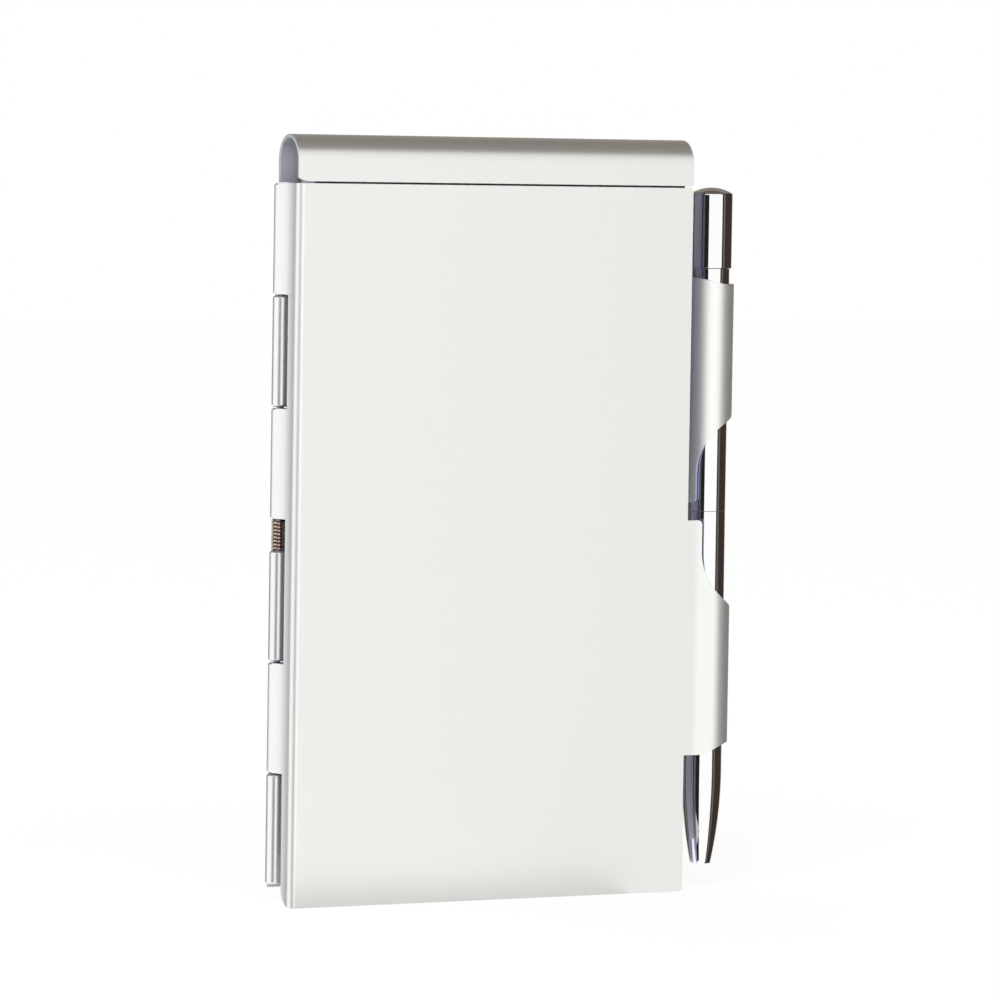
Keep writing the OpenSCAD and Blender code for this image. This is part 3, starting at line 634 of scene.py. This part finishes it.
line = bpy.data.curves.new("spring_line", "CURVE")
line.dimensions = "3D"
line.bevel_depth = WIRE_D / 2
line.bevel_resolution = 4
line.use_fill_caps = True
spline = line.splines.new("POLY")
spline.points.add(len(path) - 1)
for point, place in zip(spline.points, path):
    point.co = (*place, 1)
spring = bpy.data.objects.new("hinge_spring_wire", line)
bpy.context.scene.collection.objects.link(spring)
alone(spring)
bpy.ops.object.convert(target="MESH")
spring = bpy.context.object
smoothed(spring, 50.0)
settled(spring, "back", "spring_wire", "hinge_spring")
print("the spring's pitch is", round((last_z - first_z) / CURLS / MM, 3), "mm")


# %% [markdown]
# The pad shows when the cover is open, so it is made of leaves. One leaf is modelled: a thin box,
# divided so that it can bend, with its lower corners cut round. It is copied 48 times, each copy
# pushed by a few hundredths of a millimetre, as a trimmed block never is quite even. The first
# leaves lift a little at the foot.

# %% Pad leaves
LEAVES = 48
low, high = (Vector(c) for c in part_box("pad_sheets"))
size = high - low
pitch = size.y / LEAVES
shuffle = random.Random(7)

bpy.ops.object.select_all(action="DESELECT")
bpy.ops.mesh.primitive_cube_add(size=1.0, location=(low + high) / 2)
leaf = bpy.context.object
leaf.name = "pad_leaf"
bpy.ops.object.mode_set(mode="EDIT")
bpy.ops.transform.resize(value=(size.x - 0.16 * MM, pitch * 0.86, size.z - 0.16 * MM))
bpy.ops.object.mode_set(mode="OBJECT")
alone(leaf)
bpy.ops.object.transform_apply(location=True, rotation=False, scale=False)
bpy.ops.object.mode_set(mode="EDIT")
bpy.ops.mesh.select_mode(type="EDGE")
bpy.ops.mesh.select_all(action="DESELECT")
bpy.ops.object.mode_set(mode="OBJECT")
for edge in leaf.data.edges:
    a, b = (leaf.data.vertices[i].co for i in edge.vertices)
    edge.select = abs(a.y - b.y) > pitch / 2 and a.z < low.z + 1 * MM
bpy.ops.object.mode_set(mode="EDIT")
bpy.ops.mesh.bevel(offset=1.2 * MM, segments=4, affect="EDGES")
for height in (6, 12, 20, 30):
    bpy.ops.mesh.select_all(action="SELECT")
    bpy.ops.mesh.bisect(plane_co=(0, 0, low.z + height * MM), plane_no=(0, 0, 1))
bpy.ops.object.mode_set(mode="OBJECT")

copies = []
for i in range(LEAVES):
    one = bpy.data.objects.new(f"pad_leaf_{i}", leaf.data.copy())
    bpy.context.scene.collection.objects.link(one)
    place = (i + 0.5) * pitch - size.y / 2
    side, up = shuffle.uniform(-0.06, 0.06) * MM, shuffle.uniform(-0.06, 0.06) * MM
    lift = 0.16 * MM * max(0.0, 1 - i / 5)
    for vertex in one.data.vertices:
        free = max(0.0, 1 - (vertex.co.z - low.z) / (30 * MM))
        vertex.co += Vector((side, place - lift * free ** 2, up))
    copies.append(one)
bpy.data.objects.remove(leaf)
alone(copies[0])
for one in copies:
    one.select_set(True)
bpy.ops.object.join()
leaves = bpy.context.object
leaves.name = "pad_leaves"
smoothed(leaves, 30.0)
settled(leaves, "pad", "white_paper", "pad_sheets")


# %% [markdown]
# The backing board and the binding tape are softened copies of their solids: board crushes a little
# along its cut edges, and tape rounds over the pad's head.

# %% Board and tape
board = softened("pad_backing_board", "pad_board", 0.08 * MM)
smoothed(board)
settled(board, "pad", "grey_board", "pad_backing_board")
tape = softened("pad_binding_tape", "pad_tape", 0.05 * MM)
smoothed(tape)
settled(tape, "pad", "binding_tape", "pad_binding_tape")


# %% [markdown]
# Finishes come next. Effects that several finishes share are node groups, built once: brushed
# grain, worn edges, smudges and fibres. Each puts out only masks and heights, which a finish then
# turns into colour, roughness and bump. All read Object coordinates, so a pattern stays put when a
# piece moves with its joint.

# %% Effect groups
def new_group(name, inputs, outputs):
    """A shader node group with named sockets: (name, kind, default) in, (name, kind) out."""
    group = bpy.data.node_groups.new(name, "ShaderNodeTree")
    for label, kind, value in inputs:
        socket = group.interface.new_socket(label, in_out="INPUT", socket_type="NodeSocket" + kind)
        if value is not None:
            socket.default_value = value
    for label, kind in outputs:
        group.interface.new_socket(label, in_out="OUTPUT", socket_type="NodeSocket" + kind)
    return group, group.nodes.new("NodeGroupInput").outputs, group.nodes.new("NodeGroupOutput").inputs


def scaled(tree, vector, amount):
    node = tree.nodes.new("ShaderNodeVectorMath")
    node.operation = "SCALE"
    tree.links.new(vector, node.inputs[0])
    wire(tree, amount, node.inputs["Scale"])
    return node.outputs[0]


# %% [markdown]
# Brushed grain. The sheet was brushed along its length before it was bent, so the lines run up the
# cover, round the walls and over the roll. Noise that is squeezed across the lines and drawn out
# along them gives that. On faces that look up, the lines run from front to back.

# %% Brushed grain
brushed_grain, given, sent = new_group(
    "brushed_grain", [("Place", "Vector", None), ("Facing", "Vector", None)],
    [("Height", "Float"), ("Tone", "Float")])
place = given["Place"]
split = brushed_grain.nodes.new("ShaderNodeSeparateXYZ")
brushed_grain.links.new(given["Facing"], split.inputs[0])
upward = band(brushed_grain, maths(brushed_grain, "ABSOLUTE", split.outputs[2]), 0.55, 0.8)
along_z = noise(brushed_grain, stretched(brushed_grain, place, 6200, 6200, 420), 1.0, 3.0, 0.6)
along_y = noise(brushed_grain, stretched(brushed_grain, place, 6200, 420, 420), 1.0, 3.0, 0.6)
height = blend(brushed_grain, upward, along_z, along_y)
cloudy = noise(brushed_grain, place, 260.0, 3.0, 0.6)
wire(brushed_grain, height, sent["Height"])
wire(brushed_grain, maths(brushed_grain, "ADD", maths(brushed_grain, "MULTIPLY", height, 0.6),
                          maths(brushed_grain, "MULTIPLY", cloudy, 0.4)), sent["Tone"])

# %% [markdown]
# Worn edges take the mask painted on the rounds and break it up, because fingers and pockets polish
# an edge unevenly. Smudges are soft patches, as fingers leave them on polished metal. Fibres are a
# felt of short threads for paper, board and tape.

# %% Worn edges, smudges and fibres
worn_edges, given, sent = new_group(
    "worn_edges", [("Edge", "Float", 0.0), ("Place", "Vector", None), ("Amount", "Float", 1.0)],
    [("Mask", "Float")])
patches = band(worn_edges, noise(worn_edges, given["Place"], 700.0, 3.0, 0.6), 0.35, 0.62)
mask = maths(worn_edges, "MULTIPLY", given["Edge"], maths(worn_edges, "MULTIPLY", patches, given["Amount"]))
wire(worn_edges, mask, sent["Mask"])

smudges, given, sent = new_group(
    "smudges", [("Place", "Vector", None), ("Size", "Float", 1.0)], [("Mask", "Float"), ("Fine", "Float")])
place = scaled(smudges, given["Place"], given["Size"])
soft = noise(smudges, place, 120.0, 2.0, 0.5)
streaky = noise(smudges, stretched(smudges, place, 900, 900, 250), 1.0, 4.0, 0.65)
wire(smudges, maths(smudges, "MULTIPLY", band(smudges, soft, 0.45, 0.7), streaky), sent["Mask"])
wire(smudges, noise(smudges, place, 5200.0, 2.0, 0.6), sent["Fine"])

fibres, given, sent = new_group(
    "fibres", [("Place", "Vector", None), ("Size", "Float", 1.0)], [("Height", "Float"), ("Tone", "Float")])
place = scaled(fibres, given["Place"], given["Size"])
across = noise(fibres, stretched(fibres, place, 5200, 2600, 1100), 1.0, 3.0, 0.6)
upright = noise(fibres, stretched(fibres, place, 1100, 2600, 5200), 1.0, 3.0, 0.6)
wire(fibres, maths(fibres, "MULTIPLY", maths(fibres, "ADD", across, upright), 0.5), sent["Height"])
wire(fibres, noise(fibres, place, 380.0, 4.0, 0.6), sent["Tone"])
print("effect groups:", ", ".join(group.name for group in (brushed_grain, worn_edges, smudges, fibres)))


# %% [markdown]
# Each finish starts from the shader's own material, places the effect groups that it needs and is
# then given to its pieces. The helpers for that are short and the same for every finish.

# %% Finish helpers
def new_finish(name):
    material = bpy.data.materials.new(name)
    material.use_nodes = True
    return material, material.node_tree, material.node_tree.nodes["Principled BSDF"]


def effect(tree, group, **values):
    """Places an effect group in a finish; the names of its inputs are given as words."""
    node = tree.nodes.new("ShaderNodeGroup")
    node.node_tree = group
    for label, value in values.items():
        wire(tree, value, node.inputs[label])
    return node.outputs


def bump(tree, height, distance, strength=1.0):
    node = tree.nodes.new("ShaderNodeBump")
    node.inputs["Distance"].default_value = distance
    node.inputs["Strength"].default_value = strength
    wire(tree, height, node.inputs["Height"])
    return node.outputs[0]


def painted(tree, name):
    node = tree.nodes.new("ShaderNodeAttribute")
    node.attribute_type = "GEOMETRY"
    node.attribute_name = name
    return node.outputs["Fac"]


def give(material, *pieces):
    for piece in pieces:
        if piece.data.materials:
            for index in range(len(piece.data.materials)):
                piece.material_slots[index].material = material
        else:
            piece.data.materials.append(material)
    print(material.name, "goes on", ", ".join(piece.name for piece in pieces))


# %% [markdown]
# Satin aluminium. Under a clear anodised skin the metal is brushed, which spreads a reflection far
# across the lines and less along them: the loops fade from white to grey over twice the angle of
# the roll. The shader's anisotropy does that, with its tangent laid level round the piece. The
# barrels are smoother, and the worn edges smoother and brighter still.

# %% Satin aluminium
SATIN_TONE = (0.92, 0.93, 0.895, 1)
SATIN_TONE_LOW = (0.895, 0.905, 0.87, 1)
SATIN_ROUGHNESS = 0.38
BARREL_ROUGHNESS = 0.28
WORN_TONE = (0.95, 0.95, 0.94, 1)
WORN_ROUGHNESS = 0.22

satin, tree, shader = new_finish("satin_aluminium_finish")
facing = tree.nodes.new("ShaderNodeNewGeometry").outputs["Normal"]
grain = effect(tree, brushed_grain, Place=object_place(tree), Facing=facing)
worn = effect(tree, worn_edges, Edge=painted(tree, "worn_edge"), Place=object_place(tree), Amount=0.8)["Mask"]
tone = blend(tree, grain["Tone"], SATIN_TONE_LOW, SATIN_TONE)
wire(tree, blend(tree, worn, tone, WORN_TONE), shader.inputs["Base Color"])
rough = maths(tree, "ADD", SATIN_ROUGHNESS - 0.03, maths(tree, "MULTIPLY", grain["Height"], 0.06))
rough = blend(tree, painted(tree, "polished"), rough, BARREL_ROUGHNESS)
wire(tree, blend(tree, worn, rough, WORN_ROUGHNESS), shader.inputs["Roughness"])
wire(tree, bump(tree, grain["Height"], 0.0012 * MM, 0.6), shader.inputs["Normal"])
level_way = tree.nodes.new("ShaderNodeVectorMath")
level_way.operation = "CROSS_PRODUCT"
level_way.inputs[0].default_value = (0, 0, 1)
tree.links.new(facing, level_way.inputs[1])
nudge = tree.nodes.new("ShaderNodeVectorMath")
nudge.inputs[1].default_value = (0.001, 0, 0)
tree.links.new(level_way.outputs[0], nudge.inputs[0])
tree.links.new(nudge.outputs[0], shader.inputs["Tangent"])
shader.inputs["Metallic"].default_value = 0.8
shader.inputs["Anisotropic"].default_value = 0.5
give(satin, *sheets)


# %% [markdown]
# Polished metals. Chrome plate is almost a mirror, dulled in patches by finger marks. Brass, drawn
# steel and the browned spring wire are the same idea with their own colours, and rougher. One
# function makes them all, so that they differ only in their values.

# %% Polished metals
def polished_metal(name, colour, dull_colour, roughness, dullness, size=1.0, scratch=0.0):
    material, tree, shader = new_finish(name)
    marks = effect(tree, smudges, Place=object_place(tree), Size=size)
    wire(tree, blend(tree, marks["Mask"], (*colour, 1), (*dull_colour, 1)), shader.inputs["Base Color"])
    rough = maths(tree, "ADD", roughness, maths(tree, "MULTIPLY", marks["Mask"], dullness))
    wire(tree, rough, shader.inputs["Roughness"])
    if scratch:
        wire(tree, bump(tree, marks["Fine"], scratch), shader.inputs["Normal"])
    shader.inputs["Metallic"].default_value = 1.0
    return material


chrome = polished_metal("pen_chrome_finish", (0.81, 0.81, 0.815), (0.78, 0.78, 0.79), 0.025, 0.03)
browned = polished_metal("spring_wire_finish", (0.62, 0.43, 0.32), (0.46, 0.30, 0.22), 0.16, 0.10, 2.0)
pin_steel = polished_metal("hinge_steel_finish", (0.32, 0.29, 0.27), (0.24, 0.21, 0.19),
                           0.28, 0.25, 3.0, 0.002 * MM)
brass = polished_metal("pen_brass_finish", (0.78, 0.60, 0.30), (0.62, 0.44, 0.20),
                       0.20, 0.25, 3.0, 0.001 * MM)
tube_steel = polished_metal("refill_steel_finish", (0.70, 0.70, 0.71), (0.58, 0.57, 0.56),
                            0.25, 0.2, 2.0, 0.001 * MM)
plug_steel = polished_metal("plug_steel_finish", (0.60, 0.60, 0.61), (0.50, 0.49, 0.48),
                            0.30, 0.2, 2.0, 0.002 * MM)
staple_steel = polished_metal("staple_wire_finish", (0.66, 0.66, 0.68), (0.52, 0.52, 0.53),
                              0.3, 0.25, 3.0, 0.002 * MM)
carbide = polished_metal("carbide_finish", (0.30, 0.30, 0.31), (0.24, 0.24, 0.24), 0.15, 0.1, 4.0)
give(chrome, lower_barrel, upper_barrel, cap)
give(browned, spring)
give(pin_steel, pin)
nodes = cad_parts
give(brass, nodes["pen_cam_sleeve"], nodes["refill_point"])
give(tube_steel, nodes["refill_tube"])
give(plug_steel, nodes["pen_cap_plug"])
give(staple_steel, nodes["pad_staples"])
give(carbide, nodes["refill_ball"])


# %% [markdown]
# Paper, board and tape are felts of fibre. They differ in colour, in how coarse the fibres are and in how
# deep they stand. Moulded plastic has a very fine grain from the mould and nothing more. The washer's grey is
# darker than its nylon, as painted shade for its recessed seam.

# %% Paper, board, tape and plastic
def fibrous(name, colour, dark_colour, roughness, size, depth):
    material, tree, shader = new_finish(name)
    felt = effect(tree, fibres, Place=object_place(tree), Size=size)
    amount = maths(tree, "MULTIPLY", maths(tree, "ADD", felt["Tone"], felt["Height"]), 0.5)
    tone = blend(tree, band(tree, amount, 0.35, 0.65), (*dark_colour, 1), (*colour, 1))
    wire(tree, tone, shader.inputs["Base Color"])
    wire(tree, bump(tree, felt["Height"], depth), shader.inputs["Normal"])
    shader.inputs["Roughness"].default_value = roughness
    shader.inputs["Specular IOR Level"].default_value = 0.3
    return material


def moulded(name, colour, dark_colour, roughness):
    material, tree, shader = new_finish(name)
    marks = effect(tree, smudges, Place=object_place(tree), Size=1.5)
    wire(tree, blend(tree, marks["Mask"], (*colour, 1), (*dark_colour, 1)), shader.inputs["Base Color"])
    rough = maths(tree, "ADD", roughness, maths(tree, "MULTIPLY", marks["Fine"], 0.1))
    wire(tree, rough, shader.inputs["Roughness"])
    wire(tree, bump(tree, marks["Fine"], 0.003 * MM), shader.inputs["Normal"])
    return material


paper = fibrous("white_paper_finish", (0.93, 0.93, 0.90), (0.90, 0.90, 0.87), 0.8, 1.0, 0.006 * MM)
grey_board = fibrous("grey_board_finish", (0.55, 0.50, 0.43), (0.42, 0.37, 0.31), 0.85, 0.7, 0.02 * MM)
cloth_tape = fibrous("binding_tape_finish", (0.10, 0.11, 0.13), (0.06, 0.065, 0.08), 0.6, 1.4, 0.015 * MM)
ivory = moulded("ivory_plastic_finish", (0.87, 0.84, 0.74), (0.80, 0.76, 0.66), 0.4)
# The washer's two colours are darker than grey nylon. This is painted shade for the recessed seam between the
# barrels.
nylon_with_seam_shade = moulded("washer_nylon_seam_shade_finish", (0.40, 0.38, 0.35), (0.32, 0.30, 0.27), 0.5)
give(paper, leaves)
give(grey_board, board)
give(cloth_tape, tape)
give(ivory, nodes["pen_guide_tube"], nodes["refill_carrier"])
give(nylon_with_seam_shade, washer)
